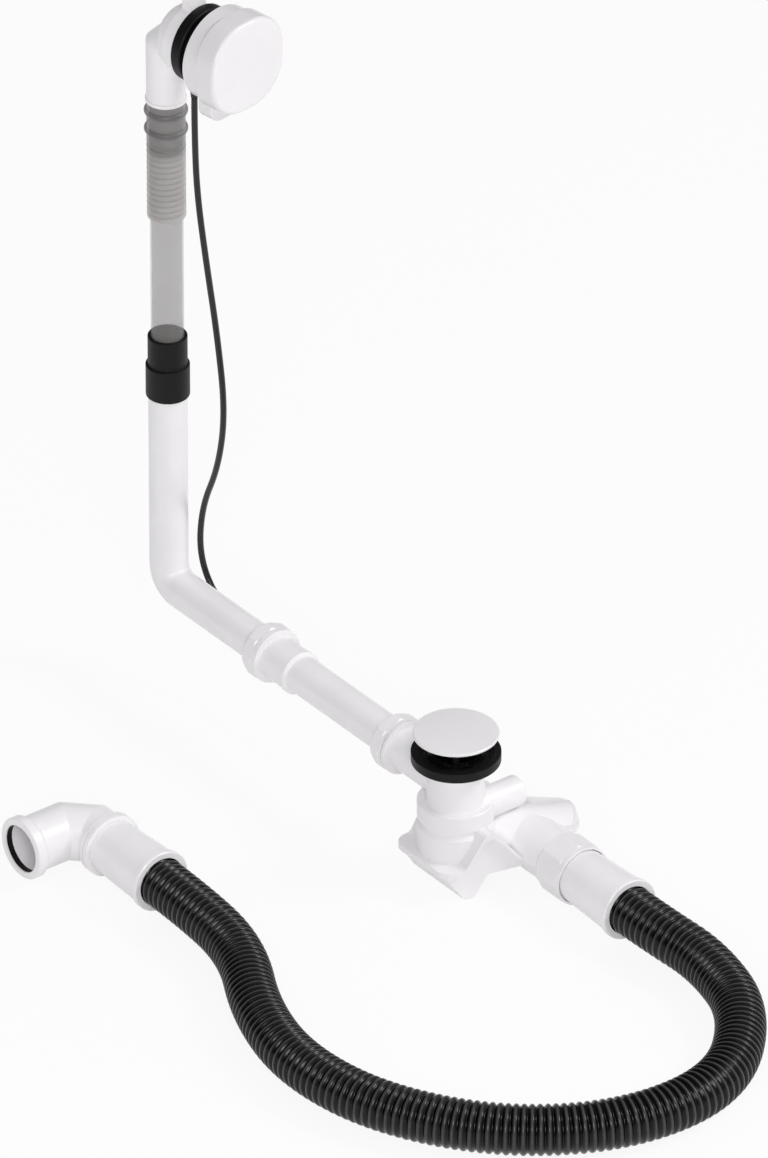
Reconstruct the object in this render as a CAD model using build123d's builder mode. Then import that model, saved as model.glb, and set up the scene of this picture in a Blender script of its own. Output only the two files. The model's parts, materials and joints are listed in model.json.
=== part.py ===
"""Bath waste and overflow: pop-up drain, trap, telescopic overflow column and flexible outlet hose."""
import os
from math import asin, cos, degrees, radians, sin, tan

from build123d import *

# All sizes are millimetres, +Z is up, and +X runs from the overflow column to the drain.
# The origin is on the drain axis, on the gasket face that the bath floor lies on.

# Clearances shared by all fits
slip = 0.3
seal_slip = 0.15
running = 0.05
soft_edge = 0.8
rim_tolerance = 0.01

# Main layout
column_reach = 383.0
overflow_rise = 497.0
head_turn = 8.2
pipe_drop = 31.5
trap_depth = 119.5
floor_gap = 1.0

# Pipes and unions of the horizontal run
pipe_r = 16.0
pipe_wall = 1.8
bend_r = 18.0
socket_wall = 2.0
socket_depth = 30.0
socket_l = 43.0
thread_h = 1.8
thread_l = 6.0
union_flange_r = 23.6
union_flange_t = 6.0
union_groove = 1.2
union_nut_r = 24.4
union_nut_wall = 1.8
union_nut_side_count = 8
union_gap = 0.4
wedge_l = 3.4
bend_union = 243.0
inlet_union = 72.0

# Column
collar_top = 204.5
collar_step = 177.5
collar_bottom = 148.5
collar_upper_r = 16.3
collar_lower_r = 18.1
collar_shoulder = 3.0
tube_r = 13.6
tube_wall = 1.2
tube_bottom = 65.0
elbow_drop = 70.0
sleeve_l = 108.0
sleeve_r = 15.9
ripple_count = 13
ripple_pitch = 5.3
ripple_depth = 1.0
bead_r = 3.1
bead_set = 9.3
bead_pitch = 17.0
spigot_l = 37.0

# Overflow head, distances along its axis from the column axis
elbow_cut = 18.5
elbow_lip = 3.0
pot_back = 11.0
pot_mouth = 38.0
pot_wall = 2.5
pot_step_r = 18.5
pot_mid_r = 25.0
pot_mouth_r = 31.5
pot_flange = 3.0
tab_w = 16.0
tab_l = 11.0
tab_h = 5.5
cable_boss_d = 32.4
cable_boss_r = 5.4
cable_boss_drop = 38.0
overflow_gasket_t = 10.0
overflow_gasket_r = 33.0
gasket_neck_r = 28.0
gasket_neck_l = 8.5
wall_gap = 11.0
rosette_r = 40.0
rosette_base_l = 14.5
rosette_wall = 2.5
neck_r = 22.4
neck_wall = 2.8
neck_reach = 16.0
nose_half = 22.0
nose_drop = 54.5
nose_corner_r = 12.0
nose_slot_w = 19.0
nose_slot_l = 9.0
bridge_w = 11.0
bridge_t = 5.0
cover_l = 20.0
cover_half = 40.6
cover_corner_r = 35.0
cover_gap = 0.4
cover_edge_r = 3.5
cover_wall = 2.6
cover_hub_r = 7.5
spindle_r = 4.0
drum_r = 9.5
drum_t = 7.0
drum_groove = 1.6
clamp_spread = 15.0
clamp_screw_r = 2.0
clamp_head_r = 3.7
clamp_head_t = 2.6
clamp_boss_r = 4.2

# Drain
gasket_r = 36.5
gasket_t = 8.5
gasket_land = 6.0
gasket_recess = 3.0
ring_top = -1.0
ring_r = 23.3
ring_bore_r = 16.2
ring_skirt = 14.0
guide_r = 5.5
guide_l = 9.0
guide_arm = 3.0
flange_r = 31.0
flange_t = 3.0
tower_r = 21.3
tower_foot_r = 25.0
tower_wall = 2.5
cap_r = 35.0
cap_top = 18.4
cap_edge = 2.6
cap_crown = 1.2
cap_plate = 2.2
plug_seal_r = 27.5
plug_seal_bore = 10.0
plug_lift = 12.0
plug_gap = 0.4
stem_r = 3.0
stem_nut_r = 6.5
stem_nut_t = 4.0

# Lifting mechanism
shaft_drop = 51.5
shaft_r = 3.0
finger_l = 13.0
finger_tip_r = 2.5
finger_w = 6.0
finger_gap = 0.3
crank_l = 6.0
crank_reach = 9.2
crank_w = 8.4
crank_cheek = 1.8
crank_gap = 3.0
stub_r = 13.0
stub_wall = 2.5
stub_end = 49.2
bearing_l = 6.0
stub_cap_t = 3.5
stub_plug_l = 5.0
stub_cap_bearing = 4.0
o_ring_r = 1.4
port_y = 37.5
port_r = 6.5
port_l = 14.0
port_depth = 8.0
wire_r = 1.0
wire_l = 33.5
nipple_r = 2.0
nipple_play = 0.4
ferrule_r = 3.9
ferrule_collar_r = 5.6
ferrule_collar_t = 3.0
ferrule_tail = 13.0
cable_r = 2.65

# Trap
trap_wall = 2.5
weld_t = 2.5
weld_lip = 4.5
crease_r = 7.0
base_ring_r = 31.5
base_ring_top = 45.0
base_ring_foot = 61.0
bowl_r = 32.0
cup_half = 31.5
cup_back = 32.5
cup_front = 36.0
cup_corner_r = 8.0
vault_r = 20.5
vault_drop = 85.2
vault_x = 40.0
vault_end = 86.5
vault_run = 78.0
vault_turn = 27.0
vault_corner_r = 12.0
weld_low = 91.5
weld_valley_y = -19.0
weld_peak = 57.0
weld_peak_y = 2.0
weld_slope_y = 31.0
weld_slope = 93.0
weld_out = 97.0
weld_out_y = 46.0
weld_far = 76.0
weld_far_y = 70.0
keel_back = -17.0
keel_front = -9.0
arch_foot = 3.0
arch_end = 38.0
arch_drop = 100.0
chamber_start = 58.0
chamber_drop = 117.5
dip_w = 30.0
dip_t = 14.0
dip_wall = 1.8
dip_back = 11.5
dip_drop = 106.0

# Outlet, hose cuffs and far elbow
outlet_y = 54.0
outlet_drop = 92.0
outlet_r = 22.3
outlet_start = 30.0
outlet_cone_r = 26.0
outlet_seal_t = 5.0
outlet_nut_l = 25.0
outlet_nut_r = 26.6
outlet_nut_side_count = 8
outlet_rim_l = 4.0
outlet_rim_t = 1.8
outlet_rim_gap = 1.1
cuff_face = 158.5
cuff_l = 65.5
cuff_wide_r = 25.0
cuff_narrow_r = 22.8
cuff_collar_r = 26.5
cuff_collar_l = 5.0
cuff_spigot_r = 20.0
cuff_spigot_l = 22.0
cuff_spigot_wall = 2.5
hose_r = 20.85
hose_wall = 2.6
hose_insert = 26.0
far_face = -104.6
far_y = -217.7
elbow_x = -212.0
far_cut = 18.0
elbow_r = 23.3
elbow_wall = 3.0
elbow_bead_r = 27.0
elbow_bead_l = 8.0
mouth_y = -279.0
mouth_bead_r = 26.3
mouth_bead_l = 8.0
mouth_bore_r = 20.4
mouth_depth = 36.0
lip_seal_r = 24.0
lip_seal_t = 5.0
lip_seal_set = 1.4
lip_bite = 0.15

# Hose and cable routes, chosen by eye, with a straight lead at each end
hose_lead = 34.0
cable_lead = 38.0
hose_route = [
    (6.8, -221.1, -99.6),
    (84.4, -265.8, -99.6),
    (165.4, -286.0, -99.6),
    (254.2, -271.1, -99.6),
    (339.5, -215.3, -99.6),
    (392.4, -127.1, -99.6),
    (391.6, -29.6, -99.6),
    (323.4, 42.7, -99.6),
    (248.2, 63.8, -98.5),
]
cable_route = [
    (-350.0, 6.0, 352.0),
    (-342.0, 8.5, 292.0),
    (-333.0, 13.0, 222.0),
    (-327.0, 16.0, 152.0),
    (-340.0, 18.5, 92.0),
    (-366.0, 21.0, 40.0),
    (-372.0, 22.5, -12.0),
    (-350.0, 25.0, -46.0),
    (-305.0, 28.0, -58.0),
    (-240.0, 30.0, -64.0),
    (-172.0, 31.0, -65.0),
    (-108.0, 33.0, -60.5),
]

# Places that follow from the sizes above
ground = -(trap_depth + floor_gap)
pipe_z = -pipe_drop
outlet_z = -outlet_drop
far_z = ground + elbow_bead_r
column_x = -column_reach
sleeve_top = overflow_rise - elbow_drop
sleeve_bottom = sleeve_top - sleeve_l
bead_upper = sleeve_top - bead_set
bead_lower = bead_upper - bead_pitch
pipe_bore = pipe_r - pipe_wall
socket_bore = pipe_r + slip
socket_r = socket_bore + socket_wall
thread_r = socket_r + thread_h
tower_bore = tower_r - tower_wall
shaft_x = finger_l
finger_swing = degrees(asin(plug_lift / 2 / finger_l))
bearing_end = tower_r + stub_wall
port_z = -shaft_drop - crank_l
cuff_shoulder = cuff_face - cuff_l
outlet_end = cuff_shoulder - outlet_seal_t
outlet_nut_start = cuff_shoulder - outlet_nut_l
port_end = shaft_x - stub_r - port_l
plug_seal_bottom = ring_top + plug_lift + plug_gap
cap_bottom = cap_top - cap_edge
gasket_front = pot_mouth + overflow_gasket_t
base_back = gasket_front + wall_gap
base_front = base_back + rosette_base_l
cover_back = base_front + cover_gap
cover_front = cover_back + cover_l
head_origin = Vector(column_x, 0, overflow_rise)
head_way = Vector(cos(radians(head_turn)), sin(radians(head_turn)), 0)
head_side = Vector(-head_way.Y, head_way.X, 0)

# Section planes hold the axis of a turned piece along their own x, or along their own y if upright
drain_section = Plane.XZ
column_section = Plane(origin=(column_x, 0, 0), x_dir=(1, 0, 0), z_dir=(0, -1, 0))
column_axis = Axis((column_x, 0, 0), (0, 0, 1))
run_section = Plane(origin=(0, 0, pipe_z), x_dir=(1, 0, 0), z_dir=(0, -1, 0))
run_axis = Axis((0, 0, pipe_z), (1, 0, 0))
outlet_section = Plane(origin=(0, outlet_y, outlet_z), x_dir=(1, 0, 0), z_dir=(0, -1, 0))
outlet_axis = Axis((0, outlet_y, outlet_z), (1, 0, 0))
far_section = Plane(origin=(0, far_y, far_z), x_dir=(1, 0, 0), z_dir=(0, -1, 0))
far_axis = Axis((0, far_y, far_z), (1, 0, 0))
mouth_section = Plane(origin=(elbow_x, 0, far_z), x_dir=(0, 1, 0), z_dir=(1, 0, 0))
mouth_axis = Axis((elbow_x, 0, far_z), (0, 1, 0))
stub_section = Plane(origin=(shaft_x, 0, -shaft_drop), x_dir=(0, 1, 0), z_dir=(1, 0, 0))
stub_axis = Axis((shaft_x, 0, -shaft_drop), (0, 1, 0))
port_section = Plane(origin=(0, port_y, port_z), x_dir=(1, 0, 0), z_dir=(0, -1, 0))
port_axis = Axis((0, port_y, port_z), (1, 0, 0))
head_section = Plane(origin=head_origin, x_dir=head_way, z_dir=-head_side)
head_axis = Axis(head_origin, head_way)
boss_origin = head_origin + head_way * cable_boss_d
boss_section = Plane(origin=boss_origin, x_dir=head_way, z_dir=-head_side)
boss_axis = Axis(boss_origin, (0, 0, 1))


def head_face(distance):
    """The plane square to the overflow axis at a distance from the column axis, its y up."""
    return Plane(origin=head_origin + head_way * distance, x_dir=head_side, z_dir=head_way)


def shaft_face(y):
    """The plane square to the lift shaft, its x towards the drain axis and its y up."""
    return Plane(origin=(shaft_x, y, -shaft_drop), x_dir=(-1, 0, 0), z_dir=(0, 1, 0))


def outline(section, *points):
    """A flat face with straight sides through the points."""
    with BuildSketch(section) as flat:
        with BuildLine():
            Polyline(*points, close=True)
        make_face()
    return flat.sketch


def band(section, start, end, inner, outer):
    """The half section of a plain ring between two places along its axis."""
    return outline(section, (start, inner), (end, inner), (end, outer), (start, outer))


def upright_band(section, bottom, top, inner, outer):
    """The half section of a plain ring around an upright axis."""
    return outline(section, (inner, bottom), (outer, bottom), (outer, top), (inner, top))


def rims(part, radius):
    """The circular edges of a part that have the given radius."""
    circles = part.edges().filter_by(GeomType.CIRCLE)
    return circles.filter_by(lambda edge: abs(edge.radius - radius) < rim_tolerance)


# Horizontal run

socket_mouth = -bend_union - thread_l
inlet_mouth = -inlet_union - thread_l
nut_throat = pipe_r + slip
nut_bore = thread_r + slip

with BuildPart() as bend_pipe:
    with BuildLine() as bend_path:
        FilletPolyline(
            (column_x, 0, collar_step - collar_shoulder),
            (column_x, 0, pipe_z),
            (socket_mouth + socket_depth, 0, pipe_z),
            radius=bend_r,
        )
    with BuildSketch(Plane(origin=bend_path.line @ 0, z_dir=bend_path.line % 0)):
        Circle(pipe_r)
        Circle(pipe_bore, mode=Mode.SUBTRACT)
    sweep(path=bend_path.line)

with BuildPart() as extension_pipe:
    flange_end = -bend_union + union_flange_t
    step = socket_mouth + socket_l
    socket_half = outline(
        run_section,
        (socket_mouth, socket_bore),
        (socket_mouth, thread_r),
        (-bend_union, thread_r),
        (-bend_union, union_flange_r),
        (flange_end, union_flange_r),
        (flange_end, socket_r),
        (step - 2 * socket_wall, socket_r),
        (step - 2 * socket_wall, socket_r + soft_edge),
        (step, socket_r + soft_edge),
        (step + socket_wall, pipe_r),
        (inlet_mouth + socket_depth, pipe_r),
        (inlet_mouth + socket_depth, pipe_bore),
        (socket_mouth + socket_depth, pipe_bore),
        (socket_mouth + socket_depth, socket_bore),
    )
    revolve(socket_half, axis=run_axis)
    fillet(rims(extension_pipe, union_flange_r), soft_edge)


def lipped_nut(axis, lip, mouth, outer, bore, throat, flats):
    """A nut with wide flats, bevelled ends and an inner lip, around an axis along X."""
    start = min(lip, mouth)
    end = max(lip, mouth)
    inside = lip + union_nut_wall if mouth > lip else lip - union_nut_wall
    half = Plane(origin=axis.position, x_dir=(1, 0, 0), z_dir=(0, -1, 0))
    bevel = 2 * soft_edge
    with BuildPart() as nut:
        start_face = Plane(origin=axis.position + Vector(start, 0, 0), x_dir=(0, 1, 0), z_dir=(1, 0, 0))
        with BuildSketch(start_face):
            RegularPolygon(outer, flats)
            Circle(outer - soft_edge / 2, mode=Mode.INTERSECT)
        extrude(amount=end - start)
        bevelled = outline(
            half,
            (start, 0),
            (end, 0),
            (end, outer - bevel),
            (end - bevel, outer),
            (start + bevel, outer),
            (start, outer - bevel),
        )
        revolve(bevelled, axis=axis, mode=Mode.INTERSECT)
        revolve(band(half, start, end, 0, throat), axis=axis, mode=Mode.SUBTRACT)
        revolve(band(half, min(inside, mouth), max(inside, mouth), 0, bore), axis=axis, mode=Mode.SUBTRACT)
    return nut.part


def union_nut(mouth, flange):
    """The nut of a pipe union, from behind its wedge seal to its flange."""
    lip = mouth - wedge_l - union_nut_wall
    rim = flange - union_gap
    return lipped_nut(run_axis, lip, rim, union_nut_r, nut_bore, nut_throat, union_nut_side_count)


def wedge_seal(mouth):
    """The half section of a sealing wedge between a pipe, its socket mouth and the lip of the nut."""
    return outline(
        run_section,
        (mouth - wedge_l, pipe_r + seal_slip),
        (mouth, pipe_r + seal_slip),
        (mouth, thread_r - soft_edge),
        (mouth - wedge_l / 2, thread_r - soft_edge),
        (mouth - wedge_l, thread_r - 3 * soft_edge),
    )


with BuildPart() as union_nut_bend:
    add(union_nut(socket_mouth, -bend_union))

with BuildPart() as wedge_seal_bend:
    revolve(wedge_seal(socket_mouth), axis=run_axis)

with BuildPart() as union_nut_inlet:
    add(union_nut(inlet_mouth, -inlet_union))

with BuildPart() as wedge_seal_inlet:
    revolve(wedge_seal(inlet_mouth), axis=run_axis)

# Telescopic column

with BuildPart() as column_collar:
    collar_half = outline(
        column_section,
        (pipe_r + seal_slip, collar_bottom),
        (collar_lower_r, collar_bottom),
        (collar_lower_r, collar_step),
        (collar_upper_r, collar_step + soft_edge),
        (collar_upper_r, collar_top),
        (tube_r + seal_slip, collar_top),
        (tube_r + seal_slip, collar_step - collar_shoulder),
        (pipe_r + seal_slip, collar_step - collar_shoulder),
    )
    revolve(collar_half, axis=column_axis)
    fillet(rims(column_collar, collar_lower_r), soft_edge)
    fillet(rims(column_collar, collar_upper_r).group_by(Axis.Z)[-1], soft_edge)

with BuildPart() as telescopic_tube:
    tube_top = sleeve_top - spigot_l - slip
    tube_half = upright_band(column_section, tube_bottom, tube_top, tube_r - tube_wall, tube_r)
    revolve(tube_half, axis=column_axis)

with BuildPart() as corrugated_sleeve:
    sleeve_bore = tube_r + seal_slip
    sleeve_half = upright_band(column_section, sleeve_bottom, sleeve_top, sleeve_bore, sleeve_r)
    revolve(sleeve_half, axis=column_axis)
    with BuildSketch(column_section):
        for ripple in range(ripple_count):
            valley = sleeve_bottom + (ripple + 0.8) * ripple_pitch
            with Locations((sleeve_r, valley)):
                Ellipse(ripple_depth, ripple_pitch / 3)
    revolve(axis=column_axis, mode=Mode.SUBTRACT)
    with BuildSketch(column_section):
        with Locations((sleeve_r - bead_r / 3, bead_lower), (sleeve_r - bead_r / 3, bead_upper)):
            Circle(bead_r)
        with Locations((sleeve_bore, bead_lower)):
            Rectangle(2 * bead_r, spigot_l + sleeve_r, align=(Align.MAX, Align.CENTER), mode=Mode.SUBTRACT)
    revolve(axis=column_axis)

# Overflow head

with BuildPart() as overflow_elbow:
    with BuildLine() as elbow_path:
        Polyline(
            (column_x, 0, sleeve_top),
            (column_x, 0, overflow_rise - elbow_cut),
            head_origin + head_way * elbow_cut,
            head_origin + head_way * (pot_mouth - 2 * pot_flange),
        )
    elbow_foot = Plane(origin=elbow_path.line @ 0, z_dir=elbow_path.line % 0)
    with BuildSketch(elbow_foot):
        Circle(pipe_r)
    sweep(path=elbow_path.line, transition=Transition.RIGHT)
    lip_top = sleeve_top + elbow_lip
    revolve(upright_band(column_section, sleeve_top, lip_top, 0, pipe_r + soft_edge), axis=column_axis)
    pot_half = outline(
        head_section,
        (pot_back, 0),
        (pot_back, pot_step_r - soft_edge),
        (pot_back + pot_wall, pot_step_r + soft_edge),
        (pot_back + pot_wall, pot_mid_r - 2 * soft_edge),
        (pot_back + 2 * pot_wall, pot_mid_r),
        (pot_back + 3 * pot_wall, pot_mouth_r - 5 * soft_edge),
        (pot_back + 6 * pot_wall, pot_mouth_r - 2 * soft_edge),
        (pot_mouth - pot_flange, pot_mouth_r - soft_edge),
        (pot_mouth - pot_flange, pot_mouth_r),
        (pot_mouth, pot_mouth_r),
        (pot_mouth, 0),
    )
    revolve(pot_half, axis=head_axis)
    with BuildSketch(head_face(pot_mouth - tab_l)):
        with Locations((0, pot_mid_r)):
            Rectangle(tab_w, pot_mouth_r - pot_mid_r + tab_h, align=(Align.CENTER, Align.MIN))
    extrude(amount=tab_l)
    boss_half = upright_band(boss_section, -cable_boss_drop, -pot_mid_r, 0, cable_boss_r)
    revolve(boss_half, axis=boss_axis)
    # The hollow, with the screw bosses left standing in it
    pot_bore = pot_mid_r - pot_wall / 2
    hollow_half = outline(
        head_section,
        (pot_back + 2 * pot_wall, 0),
        (pot_back + 2 * pot_wall, pot_step_r - pot_wall),
        (pot_back + 4 * pot_wall, pot_step_r - pot_wall),
        (pot_back + 5 * pot_wall, pot_bore),
        (pot_mouth, pot_bore),
        (pot_mouth, 0),
    )
    revolve(hollow_half, axis=head_axis, mode=Mode.SUBTRACT)
    with BuildSketch(head_face(pot_back + pot_wall)):
        with Locations((-clamp_spread, 0), (clamp_spread, 0)):
            Circle(clamp_boss_r)
    extrude(amount=pot_mouth - pot_back - 2 * pot_wall)
    with BuildSketch(elbow_foot):
        Circle(tube_r - pipe_wall - slip)
    sweep(path=elbow_path.line, transition=Transition.RIGHT, mode=Mode.SUBTRACT)
    with BuildSketch(head_face(pot_mouth)):
        with Locations((-clamp_spread, 0), (clamp_spread, 0)):
            Circle(clamp_screw_r + seal_slip)
    extrude(amount=pot_back - pot_mouth + 2 * pot_wall, mode=Mode.SUBTRACT)
    # The cable passage and the spigot inside the sleeve
    seat_top = port_depth - cable_boss_drop
    fitting_seat = upright_band(boss_section, -cable_boss_drop, seat_top, 0, ferrule_r + seal_slip)
    revolve(fitting_seat, axis=boss_axis, mode=Mode.SUBTRACT)
    wire_hole = upright_band(boss_section, -cable_boss_drop, 0, 0, 2 * wire_r)
    revolve(wire_hole, axis=boss_axis, mode=Mode.SUBTRACT)
    spigot_r = tube_r - slip
    spigot_bottom = sleeve_top - spigot_l
    spigot_half = upright_band(column_section, spigot_bottom, lip_top, spigot_r - pipe_wall, spigot_r)
    revolve(spigot_half, axis=column_axis)

with BuildPart() as overflow_gasket:
    gasket_bore = neck_r + slip
    overflow_gasket_half = outline(
        head_section,
        (pot_mouth, gasket_bore),
        (pot_mouth, overflow_gasket_r - soft_edge),
        (pot_mouth + soft_edge, overflow_gasket_r),
        (gasket_front - soft_edge, overflow_gasket_r),
        (gasket_front, overflow_gasket_r - soft_edge),
        (gasket_front, gasket_neck_r),
        (gasket_front + gasket_neck_l, gasket_neck_r - soft_edge),
        (gasket_front + gasket_neck_l, gasket_bore),
    )
    revolve(overflow_gasket_half, axis=head_axis)

with BuildPart() as rosette_base:
    floor_front = base_back + rosette_wall
    revolve(band(head_section, base_back, base_front, 0, rosette_r), axis=head_axis)
    with BuildSketch(head_face(base_back)):
        with Locations((0, -nose_drop / 2)):
            RectangleRounded(2 * nose_half, nose_drop, nose_corner_r)
    extrude(amount=rosette_base_l)
    ring_space = band(head_section, floor_front, base_front, 0, rosette_r - rosette_wall)
    revolve(ring_space, axis=head_axis, mode=Mode.SUBTRACT)
    with BuildSketch(head_face(floor_front)):
        with Locations((0, -nose_drop / 2)):
            nose_space = 2 * (nose_half - rosette_wall)
            RectangleRounded(nose_space, nose_drop - 2 * rosette_wall, nose_corner_r - rosette_wall)
    extrude(amount=base_front - floor_front - rosette_wall, mode=Mode.SUBTRACT)
    neck_back = base_back - neck_reach
    neck_bore = neck_r - neck_wall
    revolve(band(head_section, neck_back, floor_front, 0, neck_r), axis=head_axis)
    revolve(band(head_section, neck_back, floor_front, 0, neck_bore), axis=head_axis, mode=Mode.SUBTRACT)
    with BuildSketch(head_face(base_back)):
        Rectangle(2 * neck_bore + neck_wall, bridge_w)
        Circle(2 * spindle_r)
    extrude(amount=bridge_t)
    with BuildSketch(head_face(base_back)):
        Circle(spindle_r + running)
        with Locations((-clamp_spread, 0), (clamp_spread, 0)):
            Circle(clamp_screw_r + seal_slip)
    extrude(amount=bridge_t, mode=Mode.SUBTRACT)
    slot_middle = head_face(base_back + rosette_base_l / 2).origin
    slot_origin = slot_middle - Vector(0, 0, nose_drop)
    with BuildSketch(Plane(origin=slot_origin, x_dir=head_side, z_dir=(0, 0, 1))):
        RectangleRounded(nose_slot_w, nose_slot_l, nose_slot_l / 3)
    extrude(amount=nose_corner_r, mode=Mode.SUBTRACT)
    fillet(rosette_base.faces().sort_by(head_axis)[-1].outer_wire().edges(), 2 * soft_edge)

with BuildPart() as rosette_cover:
    with BuildSketch(head_face(cover_back)):
        RectangleRounded(2 * cover_half, 2 * cover_half, cover_corner_r)
    extrude(amount=cover_l)
    fillet(rosette_cover.faces().sort_by(head_axis)[-1].edges(), cover_edge_r)
    with BuildSketch(head_face(cover_back)):
        inner_half = cover_half - cover_wall
        RectangleRounded(2 * inner_half, 2 * inner_half, cover_corner_r - cover_wall)
    extrude(amount=cover_l - cover_wall, mode=Mode.SUBTRACT)
    hub_back = cover_back + cover_wall
    spindle_end = cover_front - 2 * cover_wall
    revolve(band(head_section, hub_back, cover_front - cover_wall / 2, 0, cover_hub_r), axis=head_axis)
    hub_space = band(head_section, hub_back, spindle_end, 0, spindle_r + seal_slip)
    revolve(hub_space, axis=head_axis, mode=Mode.SUBTRACT)

drum_back = cable_boss_d - drum_t / 2

with BuildPart() as knob_spindle:
    revolve(band(head_section, drum_back - drum_t / 2, spindle_end, 0, spindle_r), axis=head_axis)
    shoulder_back = base_back + bridge_t + slip
    revolve(band(head_section, shoulder_back, hub_back, 0, spindle_r + 2 * soft_edge), axis=head_axis)

with BuildPart() as cable_drum:
    drum_mid = drum_back + drum_t / 2
    drum_half = outline(
        head_section,
        (drum_back, spindle_r + seal_slip),
        (drum_back, drum_r),
        (drum_mid - drum_groove, drum_r),
        (drum_mid, drum_r - drum_groove),
        (drum_mid + drum_groove, drum_r),
        (drum_back + drum_t, drum_r),
        (drum_back + drum_t, spindle_r + seal_slip),
    )
    revolve(drum_half, axis=head_axis)

with BuildPart() as clamp_screws:
    with BuildSketch(head_face(base_back + bridge_t)):
        with Locations((-clamp_spread, 0), (clamp_spread, 0)):
            Circle(clamp_head_r)
    extrude(amount=clamp_head_t)
    fillet(rims(clamp_screws, clamp_head_r).group_by(head_axis)[-1], soft_edge)
    with BuildSketch(head_face(base_back + bridge_t)):
        with Locations((-clamp_spread, 0), (clamp_spread, 0)):
            Circle(clamp_screw_r)
    extrude(amount=pot_back + 3 * pot_wall - base_back - bridge_t)


def cable_fitting(seat, way):
    """Places along the axis and radii of a cable fitting: a plug in its seat, a collar and a tail."""
    collar = seat + way * ferrule_collar_t
    tail = collar + way * ferrule_tail
    top = seat - way * port_depth
    return [
        (top, wire_r + slip),
        (top, ferrule_r),
        (seat, ferrule_r),
        (seat, ferrule_collar_r),
        (collar, ferrule_collar_r),
        (collar, ferrule_r + slip),
        (tail, cable_r + slip),
        (tail, 0),
        (tail - way * ferrule_collar_t, 0),
        (tail - way * ferrule_collar_t, wire_r + slip),
    ]


with BuildPart() as cable_top_fitting:
    upright_points = [(radius, along) for along, radius in cable_fitting(-cable_boss_drop, -1)]
    revolve(outline(boss_section, *upright_points), axis=boss_axis)

# Drain and plug

with BuildPart() as drain_gasket:
    gasket_inner = ring_r + slip
    land_r = gasket_r - gasket_land
    drain_gasket_half = outline(
        drain_section,
        (gasket_inner, -gasket_t),
        (gasket_r - soft_edge, -gasket_t),
        (gasket_r, soft_edge - gasket_t),
        (gasket_r, 0),
        (land_r, 0),
        (land_r - soft_edge, -gasket_recess / 2),
        (land_r - 3 * soft_edge, -gasket_recess / 2),
        (land_r - 4 * soft_edge, -gasket_recess),
        (gasket_inner, -gasket_recess),
    )
    revolve(drain_gasket_half, axis=Axis.Z)

with BuildPart() as drain_ring:
    skirt_r = tower_bore - slip
    ring_half = outline(
        drain_section,
        (ring_bore_r, ring_top - 2 * soft_edge),
        (ring_bore_r + 2 * soft_edge, ring_top),
        (ring_r, ring_top),
        (ring_r, -gasket_t),
        (skirt_r, -gasket_t),
        (skirt_r, -gasket_t - ring_skirt),
        (ring_bore_r, -gasket_t - ring_skirt),
    )
    revolve(ring_half, axis=Axis.Z)
    with BuildSketch(Plane.XY.offset(-gasket_t - ring_skirt)):
        Circle(guide_r)
        with PolarLocations(0, 3):
            Rectangle(ring_bore_r + soft_edge, guide_arm, align=(Align.MIN, Align.CENTER))
    extrude(amount=guide_l)
    with BuildSketch(Plane.XY.offset(-gasket_t - ring_skirt)):
        Circle(stem_r + running)
    extrude(amount=guide_l, mode=Mode.SUBTRACT)

with BuildPart() as plug_cap:
    with BuildSketch(drain_section):
        with BuildLine():
            crown = ThreePointArc(
                (0, cap_top + cap_crown),
                (cap_r / 2, cap_top + cap_crown * 3 / 4),
                (cap_r - soft_edge, cap_top),
            )
            rim_round = Line(crown @ 1, (cap_r, cap_top - soft_edge))
            Polyline(
                rim_round @ 1,
                (cap_r, cap_bottom),
                (cap_r - cap_plate, cap_bottom),
                (cap_r - 2 * cap_plate, cap_top - cap_plate),
                (0, cap_top - cap_plate),
                (0, cap_top + cap_crown),
            )
        make_face()
    revolve(axis=Axis.Z)
    stem_top = cap_top - cap_plate
    revolve(upright_band(drain_section, plug_seal_bottom, cap_top, 0, plug_seal_bore), axis=Axis.Z)
    stem_hole = upright_band(drain_section, plug_seal_bottom, stem_top, 0, stem_r + seal_slip)
    revolve(stem_hole, axis=Axis.Z, mode=Mode.SUBTRACT)
    fillet(rims(plug_cap, cap_r).group_by(Axis.Z)[0], soft_edge)

with BuildPart() as plug_seal:
    seal_half = outline(
        drain_section,
        (plug_seal_bore + seal_slip, plug_seal_bottom),
        (plug_seal_r - 2 * soft_edge, plug_seal_bottom),
        (plug_seal_r, plug_seal_bottom + 2 * soft_edge),
        (plug_seal_r, cap_top - cap_plate),
        (plug_seal_bore + seal_slip, cap_top - cap_plate),
    )
    revolve(seal_half, axis=Axis.Z)

finger_way = Vector(cos(radians(finger_swing)), sin(radians(finger_swing)))
stem_bottom = -shaft_drop + plug_lift / 2 + finger_tip_r + finger_gap

with BuildPart() as plug_stem:
    revolve(upright_band(drain_section, stem_bottom + stem_r, stem_top, 0, stem_r), axis=Axis.Z)
    with Locations((0, 0, stem_bottom + stem_r)):
        Sphere(stem_r)

with BuildPart() as stem_nut:
    with BuildSketch(Plane.XY.offset(plug_seal_bottom - stem_nut_t)):
        RegularPolygon(stem_nut_r, 6)
        Circle(stem_r + seal_slip, mode=Mode.SUBTRACT)
    extrude(amount=stem_nut_t)

# Lifting mechanism

crank_way = Vector(finger_way.Y, -finger_way.X)
wire_end = shaft_x - crank_l * tan(radians(finger_swing))

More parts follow.
